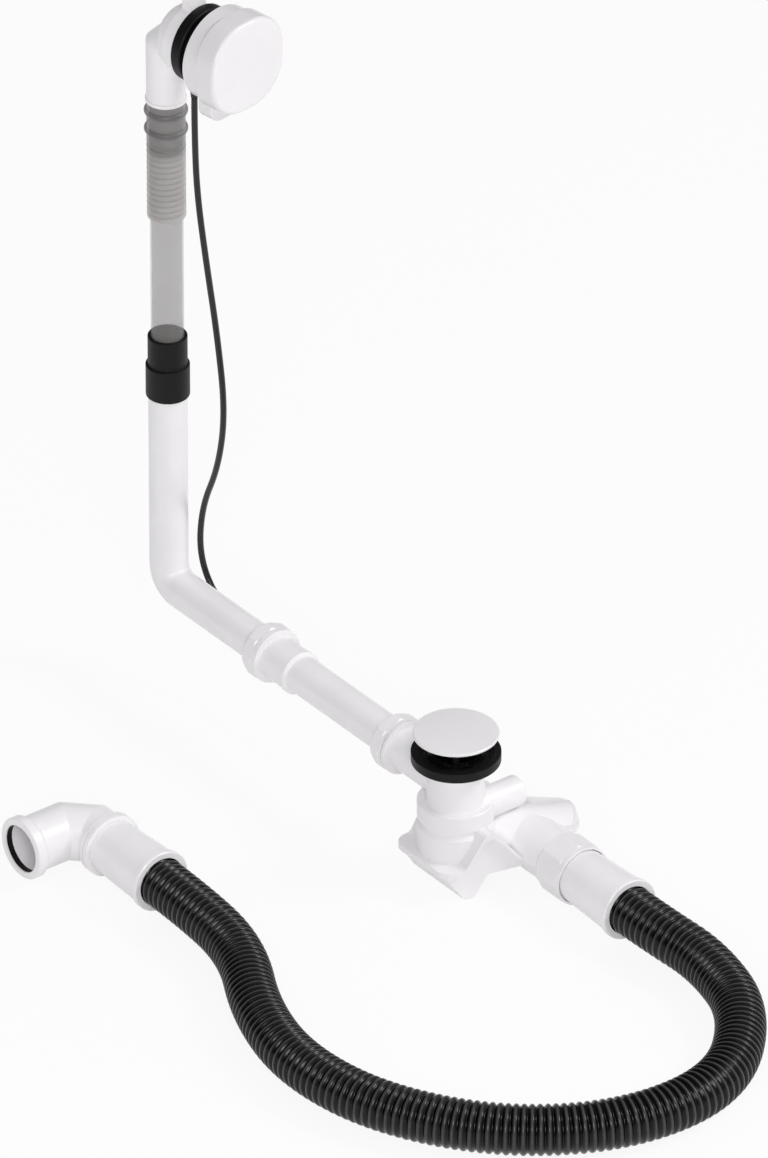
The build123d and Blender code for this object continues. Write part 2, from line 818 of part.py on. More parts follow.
with BuildPart() as lift_shaft:
    shaft_end = stub_end - stub_plug_l + stub_cap_bearing
    revolve(band(stub_section, -finger_w / 2, shaft_end, 0, shaft_r), axis=stub_axis)
    with BuildSketch(shaft_face(-finger_w / 2)):
        with Locations(finger_way * (finger_l / 2)):
            SlotCenterToCenter(finger_l, 2 * finger_tip_r, rotation=finger_swing)
    extrude(amount=finger_w)
    cheek_start = port_y - crank_gap / 2 - crank_cheek
    for cheek in (cheek_start, port_y + crank_gap / 2):
        with BuildSketch(shaft_face(cheek)):
            with Locations(crank_way * (crank_reach / 2)):
                Rectangle(crank_reach, crank_w, rotation=finger_swing - 90)
            with Locations(crank_way * (crank_l + crank_reach)):
                fork_w = 2 * (nipple_r + nipple_play)
                SlotCenterToCenter(2 * crank_reach, fork_w, rotation=finger_swing - 90, mode=Mode.SUBTRACT)
        extrude(amount=crank_cheek)

with BuildPart() as cable_core:
    with BuildSketch(shaft_face(cheek_start)):
        with Locations((shaft_x - wire_end, -crank_l)):
            Circle(nipple_r)
    extrude(amount=crank_gap + 2 * crank_cheek)
    revolve(band(port_section, wire_end - wire_l, wire_end, 0, wire_r), axis=port_axis)

with BuildPart() as shaft_seal:
    with BuildSketch(stub_section):
        with Locations((bearing_end + o_ring_r, shaft_r + running + o_ring_r)):
            Circle(o_ring_r)
    revolve(axis=stub_axis)

with BuildPart() as stub_cap:
    plug_r = stub_r - stub_wall - seal_slip
    revolve(band(stub_section, stub_end, stub_end + stub_cap_t, 0, stub_r), axis=stub_axis)
    fillet(rims(stub_cap, stub_r).group_by(Axis.Y)[-1], 2 * soft_edge)
    revolve(band(stub_section, stub_end - stub_plug_l, stub_end, 0, plug_r), axis=stub_axis)
    bearing_half = band(stub_section, stub_end - stub_plug_l, shaft_end, 0, shaft_r + running)
    revolve(bearing_half, axis=stub_axis, mode=Mode.SUBTRACT)

with BuildPart() as cable_end_fitting:
    revolve(outline(port_section, *cable_fitting(port_end, -1)), axis=port_axis)

# Waste body and trap


def weld_line(lift):
    """The wavy line that the two shells meet along, seen from the outlet side."""
    points = [
        (-2 * cup_back, -weld_low),
        (weld_valley_y, -weld_low),
        (weld_peak_y, -weld_peak),
        (weld_slope_y, -weld_slope),
        (weld_out_y, -weld_out),
        (weld_far_y, -weld_far),
        (2 * weld_far_y, -weld_far),
    ]
    return [(y, z + lift) for y, z in points]


def weld_band(low, high):
    """The strip between the weld line lowered or raised by two amounts."""
    with BuildSketch(Plane.YZ) as strip:
        with BuildLine():
            lower = FilletPolyline(*weld_line(low), radius=crease_r)
            upper = FilletPolyline(*weld_line(high), radius=crease_r)
            Line(lower @ 0, upper @ 0)
            Line(lower @ 1, upper @ 1)
        make_face()
    return strip.sketch


def trap_plan(grow):
    """The plan of the trap around its cup and the corners of its chamber, made wider by an amount."""
    with BuildSketch(Plane.XY.offset(-2 * trap_depth)) as plan:
        with Locations((0, (cup_front - cup_back) / 2)):
            RectangleRounded(2 * (cup_half + grow), cup_front + cup_back + 2 * grow, cup_corner_r + grow)
        with Locations(*vault_corners):
            Circle(vault_corner_r + grow)
        make_hull()
    return plan.sketch


def belly(inset):
    """The side view of the lower shell: keel, arch and chamber floor, made smaller by an amount."""
    with BuildSketch(Plane.YZ) as side:
        with BuildLine():
            FilletPolyline(
                (-cup_back - weld_t, 0),
                (-cup_back - weld_t, -weld_low),
                (keel_back, -trap_depth),
                (keel_front, -trap_depth),
                (arch_foot, -arch_drop),
                (arch_end, -arch_drop),
                (chamber_start, -chamber_drop),
                (chamber_end - vault_corner_r, -chamber_drop),
                (chamber_end + weld_t, -weld_out),
                (chamber_end + weld_t, 0),
                radius=crease_r / 2,
                close=True,
            )
        make_face()
        if inset:
            offset(amount=-inset)
    return side.sketch


def weld_sheet(low, high):
    """The flange of one shell: the weld strip across the trap, as wide as the weld lip."""
    with BuildPart() as sheet:
        extrude(weld_band(low, high), amount=2 * cup_half, both=True)
        extrude(trap_plan(weld_lip), amount=2 * trap_depth, mode=Mode.INTERSECT)
    return sheet.part


def trap_space():
    """The space inside the lower shell."""
    with BuildPart() as space:
        extrude(belly(trap_wall), amount=2 * cup_half, both=True)
        extrude(trap_plan(-trap_wall), amount=2 * trap_depth, mode=Mode.INTERSECT)
    return space.part


vault_way = Vector(sin(radians(vault_turn)), cos(radians(vault_turn)), 0)
vault_side = Vector(vault_way.Y, -vault_way.X, 0)
vault_tip = Vector(vault_x, vault_end, -vault_drop)
vault_root = vault_tip - vault_way * vault_run
vault_shoulder = vault_tip - vault_way * vault_corner_r
vault_spread = vault_side * (vault_r - vault_corner_r)
vault_corners = [(spot.X, spot.Y) for spot in (vault_shoulder - vault_spread, vault_shoulder + vault_spread)]
chamber_end = vault_corners[0][1] + vault_corner_r


def hood(inset):
    """A round bar along the chamber that ends at the trap's plan, all made smaller by an amount."""
    with BuildPart() as bar:
        with BuildSketch(Plane(origin=vault_root, x_dir=(0, 0, 1), z_dir=vault_way)):
            Circle(vault_r - inset)
        extrude(amount=vault_run + vault_r)
        with Locations(vault_root):
            Sphere(vault_r - inset)
        extrude(trap_plan(-inset), amount=2 * trap_depth, mode=Mode.INTERSECT)
    return bar.part


with BuildPart() as trap_lower_shell:
    extrude(belly(0), amount=2 * cup_half, both=True)
    extrude(trap_plan(0), amount=2 * trap_depth, mode=Mode.INTERSECT)
    extrude(weld_band(0, 2 * trap_depth), amount=2 * cup_half, both=True, mode=Mode.SUBTRACT)
    add(weld_sheet(-weld_t, 0))
    add(trap_space(), mode=Mode.SUBTRACT)
    outlet_hole = band(outlet_section, outlet_start, outlet_nut_start, 0, outlet_r + seal_slip)
    revolve(outlet_hole, axis=outlet_axis, mode=Mode.SUBTRACT)

with BuildPart() as waste_body:
    # Bowl, hood and tower above the weld line
    ring_neck = base_ring_r - 3 * soft_edge
    bowl_top = -base_ring_foot - 8 * soft_edge
    bowl_half = outline(
        drain_section,
        (0, -base_ring_foot),
        (ring_neck, -base_ring_foot),
        (ring_neck, bowl_top + 4 * soft_edge),
        (bowl_r, bowl_top),
        (bowl_r + soft_edge, -weld_low - weld_t),
        (0, -weld_low - weld_t),
    )
    revolve(bowl_half, axis=Axis.Z)
    add(hood(0))
    cone_half = outline(
        outlet_section,
        (outlet_start, 0),
        (outlet_start, outlet_cone_r),
        (outlet_nut_start - flange_t, outlet_r + soft_edge),
        (outlet_nut_start - flange_t, 0),
    )
    revolve(cone_half, axis=outlet_axis)
    tower_half = outline(
        drain_section,
        (0, -gasket_t),
        (flange_r, -gasket_t),
        (flange_r, -gasket_t - flange_t),
        (tower_r + flange_t, -gasket_t - flange_t),
        (tower_r, -gasket_t - 2 * flange_t),
        (tower_foot_r, -base_ring_top),
        (base_ring_r - soft_edge, -base_ring_top),
        (base_ring_r, -base_ring_top - soft_edge),
        (base_ring_r, -base_ring_foot + soft_edge),
        (base_ring_r - soft_edge, -base_ring_foot),
        (0, -base_ring_foot),
    )
    revolve(tower_half, axis=Axis.Z)
    extrude(weld_band(-2 * trap_depth, 0), amount=2 * cup_half, both=True, mode=Mode.SUBTRACT)
    add(weld_sheet(0, weld_t))
    # Inlet branch, stub, cable port and outlet spigot
    groove_start = -inlet_union + (union_flange_t - union_groove) / 2
    inlet_half = outline(
        run_section,
        (inlet_mouth, 0),
        (inlet_mouth, thread_r),
        (-inlet_union, thread_r),
        (-inlet_union, union_flange_r),
        (groove_start, union_flange_r),
        (groove_start, union_flange_r - 2 * union_groove),
        (groove_start + union_groove, union_flange_r - 2 * union_groove),
        (groove_start + union_groove, union_flange_r),
        (-inlet_union + union_flange_t, union_flange_r),
        (-inlet_union + union_flange_t, socket_r),
        (0, socket_r),
        (0, 0),
    )
    revolve(inlet_half, axis=run_axis)
    revolve(band(stub_section, 0, stub_end, 0, stub_r), axis=stub_axis)
    revolve(band(port_section, port_end, shaft_x, 0, port_r), axis=port_axis)
    revolve(band(outlet_section, outlet_start, outlet_end, 0, outlet_r), axis=outlet_axis)
    # Hollows
    deck = -base_ring_foot - trap_wall
    bowl_space = outline(
        drain_section,
        (0, deck),
        (ring_neck - trap_wall, deck),
        (ring_neck - trap_wall, bowl_top + 2 * soft_edge),
        (bowl_r - trap_wall, bowl_top - trap_wall),
        (bowl_r - trap_wall, -weld_low - trap_wall),
        (0, -weld_low - trap_wall),
    )
    revolve(bowl_space, axis=Axis.Z, mode=Mode.SUBTRACT)
    add(hood(trap_wall), mode=Mode.SUBTRACT)
    tower_space = upright_band(drain_section, -base_ring_foot, -gasket_t, 0, tower_bore)
    revolve(tower_space, axis=Axis.Z, mode=Mode.SUBTRACT)
    inlet_stop = inlet_mouth + socket_depth
    revolve(band(run_section, inlet_mouth, inlet_stop, 0, socket_bore), axis=run_axis, mode=Mode.SUBTRACT)
    revolve(band(run_section, inlet_stop, 0, 0, pipe_bore), axis=run_axis, mode=Mode.SUBTRACT)
    stub_bore = stub_r - stub_wall
    revolve(band(stub_section, bearing_end, stub_end, 0, stub_bore), axis=stub_axis, mode=Mode.SUBTRACT)
    revolve(band(stub_section, 0, bearing_end, 0, shaft_r + running), axis=stub_axis, mode=Mode.SUBTRACT)
    port_seat = band(port_section, port_end, port_end + port_depth, 0, ferrule_r + seal_slip)
    revolve(port_seat, axis=port_axis, mode=Mode.SUBTRACT)
    revolve(band(port_section, port_end, shaft_x, 0, 2 * wire_r), axis=port_axis, mode=Mode.SUBTRACT)
    spigot_stop = cuff_shoulder - cuff_spigot_l
    outlet_bore = cuff_spigot_r - cuff_spigot_wall
    outlet_space = band(outlet_section, outlet_start, spigot_stop, 0, outlet_bore)
    revolve(outlet_space, axis=outlet_axis, mode=Mode.SUBTRACT)
    spigot_space = band(outlet_section, spigot_stop, outlet_end, 0, cuff_spigot_r + seal_slip)
    revolve(spigot_space, axis=outlet_axis, mode=Mode.SUBTRACT)
    # Dip pipe into the cup
    with BuildSketch(Plane.XY.offset(-dip_drop)):
        with Locations((0, -dip_back)):
            SlotOverall(dip_w, dip_t)
    extrude(amount=dip_drop + deck)
    with BuildSketch(Plane.XY.offset(-dip_drop)):
        with Locations((0, -dip_back)):
            SlotOverall(dip_w - 2 * dip_wall, dip_t - 2 * dip_wall)
    extrude(amount=dip_drop - base_ring_foot, mode=Mode.SUBTRACT)

# Outlet, hose cuffs and far elbow

with BuildPart() as outlet_nut:
    nut_end = cuff_shoulder - union_gap
    outlet_nut_bore = outlet_r + slip
    outlet_throat = cuff_narrow_r - soft_edge
    outlet_nut_shape = lipped_nut(
        outlet_axis,
        nut_end,
        outlet_nut_start,
        outlet_nut_r,
        outlet_nut_bore,
        outlet_throat,
        outlet_nut_side_count,
    )
    add(outlet_nut_shape)
    rim_bore = cuff_narrow_r + outlet_rim_gap
    rim_end = nut_end + outlet_rim_l
    rim_half = band(outlet_section, nut_end - soft_edge, rim_end, rim_bore, rim_bore + outlet_rim_t)
    revolve(rim_half, axis=outlet_axis)

with BuildPart() as outlet_seal:
    seal_outer = cuff_narrow_r - 2 * soft_edge
    outlet_seal_half = band(outlet_section, outlet_end, cuff_shoulder, cuff_spigot_r + seal_slip, seal_outer)
    revolve(outlet_seal_half, axis=outlet_axis)


def cuff_half(section, face):
    """The half section of a hose cuff: collar and socket for the hose, cone, and a spigot behind it."""
    shoulder = face - cuff_l
    bore = hose_r + slip
    stop = face - hose_insert
    return outline(
        section,
        (face, bore),
        (face, cuff_collar_r - soft_edge),
        (face - soft_edge, cuff_collar_r),
        (face - cuff_collar_l, cuff_collar_r),
        (face - cuff_collar_l, cuff_wide_r),
        (shoulder, cuff_narrow_r),
        (shoulder, cuff_spigot_r),
        (shoulder - cuff_spigot_l, cuff_spigot_r),
        (shoulder - cuff_spigot_l, cuff_spigot_r - cuff_spigot_wall),
        (stop, cuff_spigot_r - cuff_spigot_wall),
        (stop, bore),
    )


with BuildPart() as outlet_cuff:
    revolve(cuff_half(outlet_section, cuff_face), axis=outlet_axis)

with BuildPart() as far_cuff:
    revolve(cuff_half(far_section, far_face), axis=far_axis)

far_shoulder = far_face - cuff_l
socket_face = far_shoulder - slip

with BuildPart() as far_elbow:
    with BuildLine() as elbow_line:
        Polyline(
            (socket_face, far_y, far_z),
            (elbow_x + far_cut, far_y, far_z),
            (elbow_x, far_y - far_cut, far_z),
            (elbow_x, mouth_y, far_z),
        )
    with BuildSketch(Plane(origin=elbow_line.line @ 0, z_dir=elbow_line.line % 0)):
        Circle(elbow_r)
    sweep(path=elbow_line.line, transition=Transition.RIGHT)
    bead_groove = socket_face - elbow_bead_l / 2
    bead_half = outline(
        far_section,
        (socket_face - elbow_bead_l, 0),
        (socket_face - elbow_bead_l, elbow_bead_r),
        (bead_groove - union_groove, elbow_bead_r),
        (bead_groove - union_groove, elbow_bead_r - union_groove),
        (bead_groove, elbow_bead_r - union_groove),
        (bead_groove, elbow_bead_r),
        (socket_face, elbow_bead_r),
        (socket_face, 0),
    )
    revolve(bead_half, axis=far_axis)
    mouth_half = outline(
        mouth_section,
        (mouth_y, 0),
        (mouth_y, mouth_bead_r - soft_edge),
        (mouth_y + soft_edge, mouth_bead_r),
        (mouth_y + mouth_bead_l, mouth_bead_r),
        (mouth_y + mouth_bead_l + elbow_wall, elbow_r),
        (mouth_y + mouth_bead_l + elbow_wall, 0),
    )
    revolve(mouth_half, axis=mouth_axis)
    with BuildSketch(Plane(origin=elbow_line.line @ 0, z_dir=elbow_line.line % 0)):
        Circle(cuff_spigot_r - cuff_spigot_wall)
    sweep(path=elbow_line.line, transition=Transition.RIGHT, mode=Mode.SUBTRACT)
    far_stop = far_shoulder - cuff_spigot_l
    cuff_space = band(far_section, far_stop, socket_face, 0, cuff_spigot_r + seal_slip)
    revolve(cuff_space, axis=far_axis, mode=Mode.SUBTRACT)
    mouth_space = band(mouth_section, mouth_y, mouth_y + mouth_depth, 0, mouth_bore_r)
    revolve(mouth_space, axis=mouth_axis, mode=Mode.SUBTRACT)
    lip_start = mouth_y + lip_seal_set
    lip_end = lip_start + lip_seal_t
    seal_space = band(mouth_section, lip_start, lip_end, 0, lip_seal_r + seal_slip)
    revolve(seal_space, axis=mouth_axis, mode=Mode.SUBTRACT)

with BuildPart() as socket_lip_seal:
    lip_half = band(mouth_section, lip_start, lip_end, mouth_bore_r - lip_bite, lip_seal_r)
    revolve(lip_half, axis=mouth_axis)


def corner_radii(points):
    """For each inner point of a route, the radius that uses 0.45 of its shorter run."""
    radii = []
    for before, point, after in zip(points, points[1:], points[2:]):
        back = Vector(before) - Vector(point)
        ahead = Vector(after) - Vector(point)
        half_turn = radians(180 - back.get_angle(ahead)) / 2
        radii.append(0.45 * min(back.length, ahead.length) / tan(half_turn))
    return radii


hose_points = [
    (far_face - hose_insert, far_y, far_z),
    (far_face + hose_lead, far_y, far_z),
    *hose_route,
    (cuff_face + hose_lead, outlet_y, outlet_z),
    (cuff_face - hose_insert, outlet_y, outlet_z),
]
hose_radii = corner_radii(hose_points)
print("hose radii", [round(radius) for radius in hose_radii])

with BuildPart() as drain_hose:
    with BuildLine() as hose_line:
        FilletPolyline(*hose_points, radius=hose_radii)
    with BuildSketch(Plane(origin=hose_line.line @ 0, z_dir=hose_line.line % 0)):
        Circle(hose_r)
        Circle(hose_r - hose_wall, mode=Mode.SUBTRACT)
    sweep(path=hose_line.line)

cable_start = boss_origin - Vector(0, 0, cable_boss_drop + ferrule_collar_t + ferrule_tail)
cable_finish = Vector(port_end - ferrule_collar_t - ferrule_tail, port_y, port_z)
cable_points = [
    cable_start,
    cable_start - Vector(0, 0, cable_lead),
    *cable_route,
    cable_finish - Vector(cable_lead, 0, 0),
    cable_finish,
]
cable_radii = corner_radii(cable_points)
print("cable radii", [round(radius) for radius in cable_radii])

with BuildPart() as bowden_cable:
    with BuildLine() as cable_line:
        FilletPolyline(*cable_points, radius=cable_radii)
    with BuildSketch(Plane(origin=cable_line.line @ 0, z_dir=cable_line.line % 0)):
        Circle(cable_r)
    sweep(path=cable_line.line)

hose_length = hose_line.wire().length
cable_length = cable_line.wire().length
print("hose length", round(hose_length), "cable length", round(cable_length))

pieces = {
    "overflow_elbow": overflow_elbow,
    "overflow_gasket": overflow_gasket,
    "rosette_base": rosette_base,
    "rosette_cover": rosette_cover,
    "knob_spindle": knob_spindle,
    "cable_drum": cable_drum,
    "clamp_screws": clamp_screws,
    "cable_top_fitting": cable_top_fitting,
    "corrugated_sleeve": corrugated_sleeve,
    "telescopic_tube": telescopic_tube,
    "column_collar": column_collar,
    "bend_pipe": bend_pipe,
    "union_nut_bend": union_nut_bend,
    "wedge_seal_bend": wedge_seal_bend,
    "extension_pipe": extension_pipe,
    "union_nut_inlet": union_nut_inlet,
    "wedge_seal_inlet": wedge_seal_inlet,
    "waste_body": waste_body,
    "trap_lower_shell": trap_lower_shell,
    "drain_gasket": drain_gasket,
    "drain_ring": drain_ring,
    "plug_cap": plug_cap,
    "plug_seal": plug_seal,
    "plug_stem": plug_stem,
    "stem_nut": stem_nut,
    "lift_shaft": lift_shaft,
    "shaft_seal": shaft_seal,
    "stub_cap": stub_cap,
    "cable_core": cable_core,
    "cable_end_fitting": cable_end_fitting,
    "bowden_cable": bowden_cable,
    "outlet_nut": outlet_nut,
    "outlet_seal": outlet_seal,
    "outlet_cuff": outlet_cuff,
    "drain_hose": drain_hose,
    "far_cuff": far_cuff,
    "far_elbow": far_elbow,
    "socket_lip_seal": socket_lip_seal,
}

os.makedirs("parts", exist_ok=True)
for name, piece in pieces.items():
    piece.part.label = name
    export_step(piece.part, f"parts/{name}.step")
    print(name, len(piece.part.solids()), round(piece.part.volume), piece.part.is_valid)
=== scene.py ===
"""Studio scene of a bath waste and overflow: camera, light, cords and moulded finishes."""
import json
from math import pi

import bpy
import numpy as np
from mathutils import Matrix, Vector


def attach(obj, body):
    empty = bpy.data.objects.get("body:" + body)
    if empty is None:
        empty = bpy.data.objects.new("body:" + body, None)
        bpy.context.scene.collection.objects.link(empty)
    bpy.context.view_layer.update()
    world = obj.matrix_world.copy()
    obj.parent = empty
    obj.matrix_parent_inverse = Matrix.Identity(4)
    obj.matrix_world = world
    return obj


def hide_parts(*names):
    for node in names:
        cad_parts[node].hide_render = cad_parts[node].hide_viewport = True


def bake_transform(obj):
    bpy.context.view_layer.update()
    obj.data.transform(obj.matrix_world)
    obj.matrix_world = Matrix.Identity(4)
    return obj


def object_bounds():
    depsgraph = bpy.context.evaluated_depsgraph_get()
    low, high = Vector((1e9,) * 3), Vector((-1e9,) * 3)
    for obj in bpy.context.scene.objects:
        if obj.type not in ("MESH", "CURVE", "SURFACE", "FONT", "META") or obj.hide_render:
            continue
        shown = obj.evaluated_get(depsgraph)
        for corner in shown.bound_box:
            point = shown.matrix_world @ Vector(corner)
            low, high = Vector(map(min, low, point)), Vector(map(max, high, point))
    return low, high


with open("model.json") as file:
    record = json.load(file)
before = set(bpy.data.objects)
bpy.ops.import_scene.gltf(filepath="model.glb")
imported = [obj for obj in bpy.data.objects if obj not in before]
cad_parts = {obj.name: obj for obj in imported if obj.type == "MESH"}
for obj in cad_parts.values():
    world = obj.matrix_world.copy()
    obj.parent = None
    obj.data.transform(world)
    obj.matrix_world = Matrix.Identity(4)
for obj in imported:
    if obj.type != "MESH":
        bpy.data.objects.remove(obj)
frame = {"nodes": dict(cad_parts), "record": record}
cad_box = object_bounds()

scene = bpy.context.scene
nodes = frame["nodes"]

# Camera at the photograph's angle, far off with a long lens
aim = Vector((-0.0938, -0.0009, 0.1161))
look_back = Vector((0.6691, -0.5134, 0.5373)).normalized()
camera_distance = 16.0
pixels_per_metre = 1246.0
frame_height = 1158.0
camera = bpy.data.objects.new("camera", bpy.data.cameras.new("camera"))
camera.data.sensor_width = 36.0
camera.data.lens = camera.data.sensor_width * camera_distance * pixels_per_metre / frame_height
camera.data.clip_end = 100.0
camera.location = aim + look_back * camera_distance
camera.rotation_mode = "QUATERNION"
camera.rotation_quaternion = (-look_back).to_track_quat("-Z", "Y")
scene.collection.objects.link(camera)
scene.camera = camera


class Value:
    """A shader socket that Python arithmetic can use; each operation adds one Math node."""

    def __init__(self, tree, socket=None):
        self.tree = tree
        self.socket = socket

    def node(self, kind, settings=None, sockets=None, out=0):
        """A new node in the same tree, with its settings and the values or links of its sockets."""
        made = self.tree.nodes.new(kind)
        for name, value in (settings or {}).items():
            if name == "stops":
                ramp = made.color_ramp
                for place, level in value[2:]:
                    ramp.elements.new(place)
                for element, (place, level) in zip(ramp.elements, sorted(value)):
                    element.position = place
                    element.color = (level, level, level, 1)
            else:
                setattr(made, name, value)
        for name, value in (sockets or {}).items():
            if isinstance(value, Value):
                self.tree.links.new(value.socket, made.inputs[name])
            else:
                made.inputs[name].default_value = value
        return Value(self.tree, made.outputs[out])

    def math(self, operation, *others):
        return self.node("ShaderNodeMath", {"operation": operation}, dict(enumerate((self, *others))))

    def reversed_math(self, operation, other):
        return self.node("ShaderNodeMath", {"operation": operation}, {0: other, 1: self})

    def __add__(self, other):
        return self.math("ADD", other)

    def __radd__(self, other):
        return self.math("ADD", other)

    def __sub__(self, other):
        return self.math("SUBTRACT", other)

    def __rsub__(self, other):
        return self.reversed_math("SUBTRACT", other)

    def __mul__(self, other):
        return self.math("MULTIPLY", other)

    def __rmul__(self, other):
        return self.math("MULTIPLY", other)


def blank_material(name):
    """A new material with its Principled shader alone, and the tools to draw in its tree."""
    material = bpy.data.materials.new(name)
    material.use_nodes = True
    shader = material.node_tree.nodes["Principled BSDF"]
    return material, Value(material.node_tree), shader


def feed(tools, shader, name, value):
    """Puts a number, a colour or a linked socket on an input of the shader."""
    if isinstance(value, Value):
        tools.tree.links.new(value.socket, shader.inputs[name])
    else:
        shader.inputs[name].default_value = value


def tint(tools, low, high, mask):
    """A colour between two, mixed by a mask."""
    return tools.node(
        "ShaderNodeMix",
        {"data_type": "RGBA"},
        {0: mask, 6: (*low, 1), 7: (*high, 1)},
        out=2,
    )


def noise(tools, scale, detail=2.0, rough=0.5, where=None):
    """A cloudy mask on Object coordinates, from 0 to 1, with its scale in cells per metre."""
    place = where or tools.node("ShaderNodeTexCoord", out="Object")
    return tools.node(
        "ShaderNodeTexNoise",
        {},
        {"Vector": place, "Scale": scale, "Detail": detail, "Roughness": rough},
        out=0,
    )


def ramp(mask, *stops):
    """The mask through a ramp of grey stops."""
    return mask.node("ShaderNodeValToRGB", {"stops": list(stops)}, {"Fac": mask})


def bump(tools, height, strength, distance):
    """A small relief for the Normal input."""
    return tools.node(
        "ShaderNodeBump", {}, {"Height": height, "Strength": strength, "Distance": distance}, out=0
    )


def flow_streaks(tools):
    """The faint streaks that plastic leaves where it flowed in its mould."""
    return noise(tools, 140.0, 4.0, 0.6)


def moulded(name, low, high, rough, grain, shine=0.5):
    """Injection moulded plastic: cloudy tone, faint flow streaks, and an orange peel skin."""
    material, tools, shader = blank_material(name)
    cloud = noise(tools, 22.0, 3.0)
    flow = flow_streaks(tools)
    peel = noise(tools, grain, 2.0)
    feed(tools, shader, "Base Color", tint(tools, low, high, ramp(cloud, (0.3, 0.0), (0.7, 1.0))))
    feed(tools, shader, "Roughness", rough - 0.06 + flow * 0.12)
    feed(tools, shader, "Normal", bump(tools, peel, 0.12, 0.0002))
    shader.inputs["Specular IOR Level"].default_value = shine
    return material


white_plastic = moulded("white_plastic", (0.89, 0.87, 0.89), (0.93, 0.91, 0.93), 0.32, 1500.0)
trim_white = moulded("trim_white", (0.82, 0.80, 0.82), (0.85, 0.83, 0.85), 0.30, 2200.0)
black_rubber = moulded("black_rubber", (0.004, 0.0035, 0.004), (0.008, 0.0075, 0.008), 0.5, 1800.0, 0.22)
black_plastic = moulded("black_plastic", (0.002, 0.0018, 0.002), (0.004, 0.0036, 0.004), 0.13, 1600.0, 0.5)


def ribbed_plastic(name, valley, crest, rough, shine):
    """Black polyethylene of a corrugated hose, with a painted highlight: a paler tone on the rib crests
    over the dark valleys.
    """
    material, tools, shader = blank_material(name)
    height = tools.node("ShaderNodeAttribute", {"attribute_name": "rib_crest"}, out="Fac")
    flow = flow_streaks(tools)
    # Painted highlight: the crests take the paler tone, streaked by the flow mask, and the valleys keep the
    # dark base.
    feed(tools, shader, "Base Color", tint(tools, valley, crest, height * (0.7 + flow * 0.6)))
    feed(tools, shader, "Roughness", rough - 0.05 + flow * 0.1)
    shader.inputs["Specular IOR Level"].default_value = shine
    return material


hose_plastic = ribbed_plastic("hose_plastic", (0.0006, 0.0005, 0.0006), (0.06, 0.057, 0.06), 0.24, 0.25)


def clear_plastic(name, dark, pale, lap_start, lap_full, valley, pitch, beads, bead_half):
    """Cloudy see-through polyethylene, darker at beads and where a spigot fills it, with painted shade in
    the rib valleys.
    """
    material, tools, shader = blank_material(name)
    place = tools.node("ShaderNodeTexCoord", out="Object")
    height = tools.node("ShaderNodeSeparateXYZ", {}, {0: place}, out="Z")
    lap = tools.node(
        "ShaderNodeMapRange",
        {"interpolation_type": "SMOOTHSTEP"},
        {"Value": height, "From Min": lap_start, "From Max": lap_full},
    )
    # Painted shade: a cosine mask on height, strongest in each rib valley of the sleeve.
    groove = ((height - valley) * (2 * pi / pitch)).math("COSINE").math("MAXIMUM", 0.0)
    ribbed = height.math("GREATER_THAN", valley - pitch) * (1 - lap)
    upper, lower = (
        (1 - ((height - bead) * (1 / bead_half)).math("ABSOLUTE")).math("MAXIMUM", 0.0) for bead in beads
    )
    beaded = upper + lower
    # Darkening of the colour: the spigot's lap, painted shade in the rib valleys, and the thicker beads.
    shade = lap * 0.1 + groove * ribbed * 0.22 + beaded * 0.35
    cloud = noise(tools, 30.0, 3.0)
    feed(tools, shader, "Base Color", tint(tools, dark, pale, 0.47 + cloud * 0.08 + ribbed * 0.42 - shade))
    feed(tools, shader, "Roughness", 0.26 + noise(tools, 160.0) * 0.12)
    feed(tools, shader, "Alpha", 0.25 + cloud * 0.05 + ribbed * 0.3 + lap * 0.35 + beaded * 0.3)
    return material


clear_grey = clear_plastic(
    "clear_grey",
    dark=(0.10, 0.097, 0.096),
    pale=(0.60, 0.58, 0.57),
    lap_start=0.376,
    lap_full=0.384,
    valley=0.32324,
    pitch=0.0053,
    beads=(0.4177, 0.4007),
    bead_half=0.004,
)


def turned_steel(name):
    """Plain steel with fine turning lines in its roughness."""
    material, tools, shader = blank_material(name)
    lines = noise(tools, 900.0, 4.0, 0.7)
    feed(tools, shader, "Base Color", tint(tools, (0.50, 0.50, 0.50), (0.62, 0.62, 0.61), lines))
    feed(tools, shader, "Roughness", 0.26 + lines * 0.16)
    shader.inputs["Metallic"].default_value = 1.0
    return material


steel = turned_steel("steel")
finishes = {
    "white_plastic": white_plastic,
    "trim_white": trim_white,
    "clear_grey": clear_grey,
    "black_rubber": black_rubber,
    "black_plastic": black_plastic,
    "steel": steel,
}
for row in frame["record"]["subparts"]:
    mesh = nodes[row["node"]].data
    mesh.materials.clear()
    mesh.materials.append(finishes[row["material_slot"]])


def spline_points(name, route):
    """The points of a smooth NURBS line that has the route's points as its control points."""
    line = bpy.data.curves.new(name, "CURVE")
    line.dimensions = "3D"
    line.resolution_u = 24
    spline = line.splines.new("NURBS")
    spline.points.add(len(route) - 1)
    spline.points.foreach_set("co", np.column_stack((route, np.ones(len(route)))).ravel())
    spline.order_u = 3
    spline.use_endpoint_u = True
    holder = bpy.data.objects.new(name, line)
    scene.collection.objects.link(holder)
    shape = bpy.data.meshes.new_from_object(holder)
    points = np.empty(3 * len(shape.vertices))
    shape.vertices.foreach_get("co", points)
    bpy.data.objects.remove(holder)
    bpy.data.meshes.remove(shape)
    return points.reshape(-1, 3)


